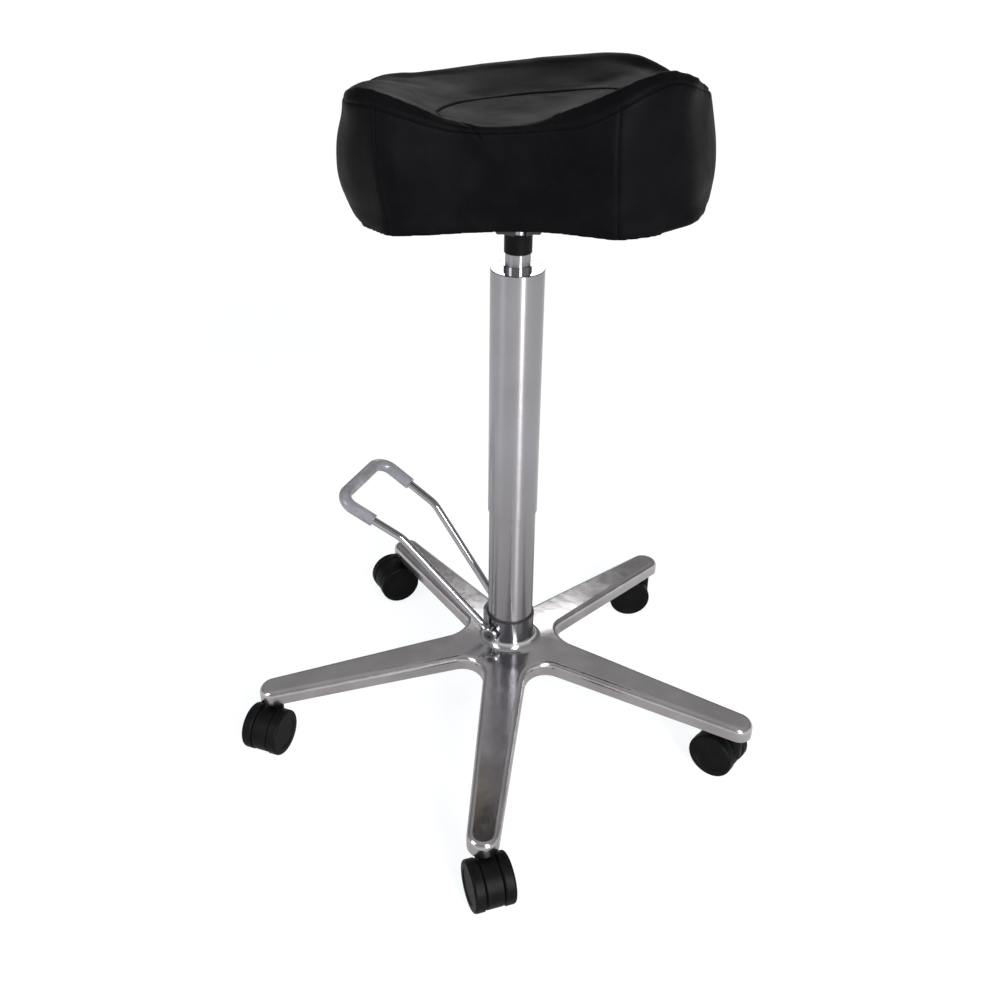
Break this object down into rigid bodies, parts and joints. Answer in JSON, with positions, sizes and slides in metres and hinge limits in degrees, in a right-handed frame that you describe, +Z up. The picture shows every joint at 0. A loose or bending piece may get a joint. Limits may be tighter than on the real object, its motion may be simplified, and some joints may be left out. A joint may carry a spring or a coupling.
{
  "type": "lab stool",
  "caption": "Height-adjustable stool: saddle-shaped padded seat on a telescopic chromed column with a foot pedal, on a star base with castors.",
  "frame": {"origin": "on the floor, in the middle of the stool's bounding box", "axes": "+Z up, parallel to the column, -Y towards the front of the stool, +X to the right as seen from the front"},
  "size_m": [0.6429, 0.6486, 0.8422],
  "materials": {
    "polished_aluminium": "polished casting",
    "chrome": "bright chrome plate",
    "plain_steel": "bright drawn",
    "dark_steel": "blackened",
    "black_nylon": "satin",
    "bearing_plastic": "satin",
    "black_rubber": "matt",
    "grey_pvc": "translucent, glossy",
    "black_paint": "satin powder coat",
    "plywood": "raw",
    "black_leather": "fine-grained, satin"
  },
  "bodies": {
    "base": {"base_casting": "polished_aluminium", "castor_stem_sockets": "plain_steel", "hub_bottom_cap": "black_nylon", "hub_collar": "chrome", "collar_seal": "black_rubber", "lower_column_tube": "chrome", "pivot_bushes": "chrome", "column_guide_bush": "bearing_plastic", "column_foot": "plain_steel", "bearing_lower_race": "plain_steel", "bearing_balls": "plain_steel"},
    "spindle": {"piston_rod": "plain_steel", "rod_clip": "plain_steel", "piston": "plain_steel", "bearing_upper_race": "plain_steel"},
    "release_pin": {"release_pin": "plain_steel"},
    "seat": {"gas_cylinder": "chrome", "cylinder_end_gland": "plain_steel", "upper_column_tube": "chrome", "column_top_cap": "chrome", "cap_ring": "chrome", "hub_sleeve": "black_nylon", "seat_hub": "black_paint", "seat_plate": "black_paint", "seat_bolts": "black_paint", "board_nuts": "plain_steel", "seat_board": "plywood", "seat_cushion": "black_leather"},
    "pedal": {"pedal_rod": "chrome", "pedal_sleeve": "grey_pvc", "pedal_end_bosses": "chrome", "pivot_shaft": "plain_steel", "pivot_screws": "dark_steel", "release_finger": "plain_steel", "pedal_return_spring": "dark_steel"},
    "castor_front": {"castor_hood_front": "black_nylon", "castor_stem_front": "plain_steel", "castor_axle_front": "plain_steel"},
    "wheel_a_front": {"castor_wheel_a_front": "black_nylon"},
    "wheel_b_front": {"castor_wheel_b_front": "black_nylon"},
    "castor_right": {"castor_hood_right": "black_nylon", "castor_stem_right": "plain_steel", "castor_axle_right": "plain_steel"},
    "wheel_a_right": {"castor_wheel_a_right": "black_nylon"},
    "wheel_b_right": {"castor_wheel_b_right": "black_nylon"},
    "castor_back_right": {"castor_hood_back_right": "black_nylon", "castor_stem_back_right": "plain_steel", "castor_axle_back_right": "plain_steel"},
    "wheel_a_back_right": {"castor_wheel_a_back_right": "black_nylon"},
    "wheel_b_back_right": {"castor_wheel_b_back_right": "black_nylon"},
    "castor_back_left": {"castor_hood_back_left": "black_nylon", "castor_stem_back_left": "plain_steel", "castor_axle_back_left": "plain_steel"},
    "wheel_a_back_left": {"castor_wheel_a_back_left": "black_nylon"},
    "wheel_b_back_left": {"castor_wheel_b_back_left": "black_nylon"},
    "castor_left": {"castor_hood_left": "black_nylon", "castor_stem_left": "plain_steel", "castor_axle_left": "plain_steel"},
    "wheel_a_left": {"castor_wheel_a_left": "black_nylon"},
    "wheel_b_left": {"castor_wheel_b_left": "black_nylon"}
  },
  "joints": [
    {"name": "seat_swivel", "type": "hinge", "parent": "base", "child": "spindle", "pos_m": [0.0166, 0.0374, 0.1575], "axis": [0, 0, 1], "continuous": true},
    {"name": "seat_height", "type": "slide", "parent": "spindle", "child": "seat", "axis": [0, 0, 1], "range_m": [-0.13, 0]},
    {"name": "pedal_press", "type": "hinge", "parent": "base", "child": "pedal", "pos_m": [0.00357, 0.04251, 0.139], "axis": [-0.3649, -0.9311, 0], "range_deg": [0, 8], "stiffness_Nm_per_rad": 6, "springref_deg": -17.19},
    {"name": "pin_lift", "type": "slide", "parent": "spindle", "child": "release_pin", "axis": [0, 0, 1], "range_m": [0, 0.0025]},
    {"name": "castor_swivel_front", "type": "hinge", "parent": "base", "child": "castor_front", "pos_m": [-0.00756, -0.26965, 0.06475], "axis": [0, 0, 1], "continuous": true},
    {"name": "wheel_spin_a_front", "type": "hinge", "parent": "castor_front", "child": "wheel_a_front", "pos_m": [-0.00042, -0.28918, 0.0295], "axis": [0.9391, 0.3437, 0], "continuous": true},
    {"name": "wheel_spin_b_front", "type": "hinge", "parent": "castor_front", "child": "wheel_b_front", "pos_m": [-0.00042, -0.28918, 0.0295], "axis": [0.9391, 0.3437, 0], "continuous": true},
    {"name": "castor_swivel_right", "type": "hinge", "parent": "base", "child": "castor_right", "pos_m": [0.30116, -0.08047, 0.06475], "axis": [0, 0, 1], "continuous": true},
    {"name": "wheel_spin_a_right", "type": "hinge", "parent": "castor_right", "child": "wheel_a_right", "pos_m": [0.28459, -0.06789, 0.0295], "axis": [-0.6046, -0.7965, 0], "continuous": true},
    {"name": "wheel_spin_b_right", "type": "hinge", "parent": "castor_right", "child": "wheel_b_right", "pos_m": [0.28459, -0.06789, 0.0295], "axis": [-0.6046, -0.7965, 0], "continuous": true},
    {"name": "castor_swivel_back_right", "type": "hinge", "parent": "base", "child": "castor_back_right", "pos_m": [0.21663, 0.2716, 0.06475], "axis": [0, 0, 1], "continuous": true},
    {"name": "wheel_spin_a_back_right", "type": "hinge", "parent": "castor_back_right", "child": "wheel_a_back_right", "pos_m": [0.19586, 0.27052, 0.0295], "axis": [0.0523, -0.9986, 0], "continuous": true},
    {"name": "wheel_spin_b_back_right", "type": "hinge", "parent": "castor_back_right", "child": "wheel_b_back_right", "pos_m": [0.19586, 0.27052, 0.0295], "axis": [0.0523, -0.9986, 0], "continuous": true},
    {"name": "castor_swivel_back_left", "type": "hinge", "parent": "base", "child": "castor_back_left", "pos_m": [-0.14433, 0.30001, 0.06475], "axis": [0, 0, 1], "continuous": true},
    {"name": "wheel_spin_a_back_left", "type": "hinge", "parent": "castor_back_left", "child": "wheel_a_back_left", "pos_m": [-0.16275, 0.29034, 0.0295], "axis": [0.4648, -0.8854, 0], "continuous": true},
    {"name": "wheel_spin_b_back_left", "type": "hinge", "parent": "castor_back_left", "child": "wheel_b_back_left", "pos_m": [-0.16275, 0.29034, 0.0295], "axis": [0.4648, -0.8854, 0], "continuous": true},
    {"name": "castor_swivel_left", "type": "hinge", "parent": "base", "child": "castor_left", "pos_m": [-0.28289, -0.0345, 0.06475], "axis": [0, 0, 1], "continuous": true},
    {"name": "wheel_spin_a_left", "type": "hinge", "parent": "castor_left", "child": "wheel_a_left", "pos_m": [-0.28983, -0.05411, 0.0295], "axis": [0.9426, -0.3338, 0], "continuous": true},
    {"name": "wheel_spin_b_left", "type": "hinge", "parent": "castor_left", "child": "wheel_b_left", "pos_m": [-0.28983, -0.05411, 0.0295], "axis": [0.9426, -0.3338, 0], "continuous": true}
  ],
  "couplings": [
    {"joint": "pin_lift", "follows": "pedal_press", "m_per_rad": 0.015}
  ]
}
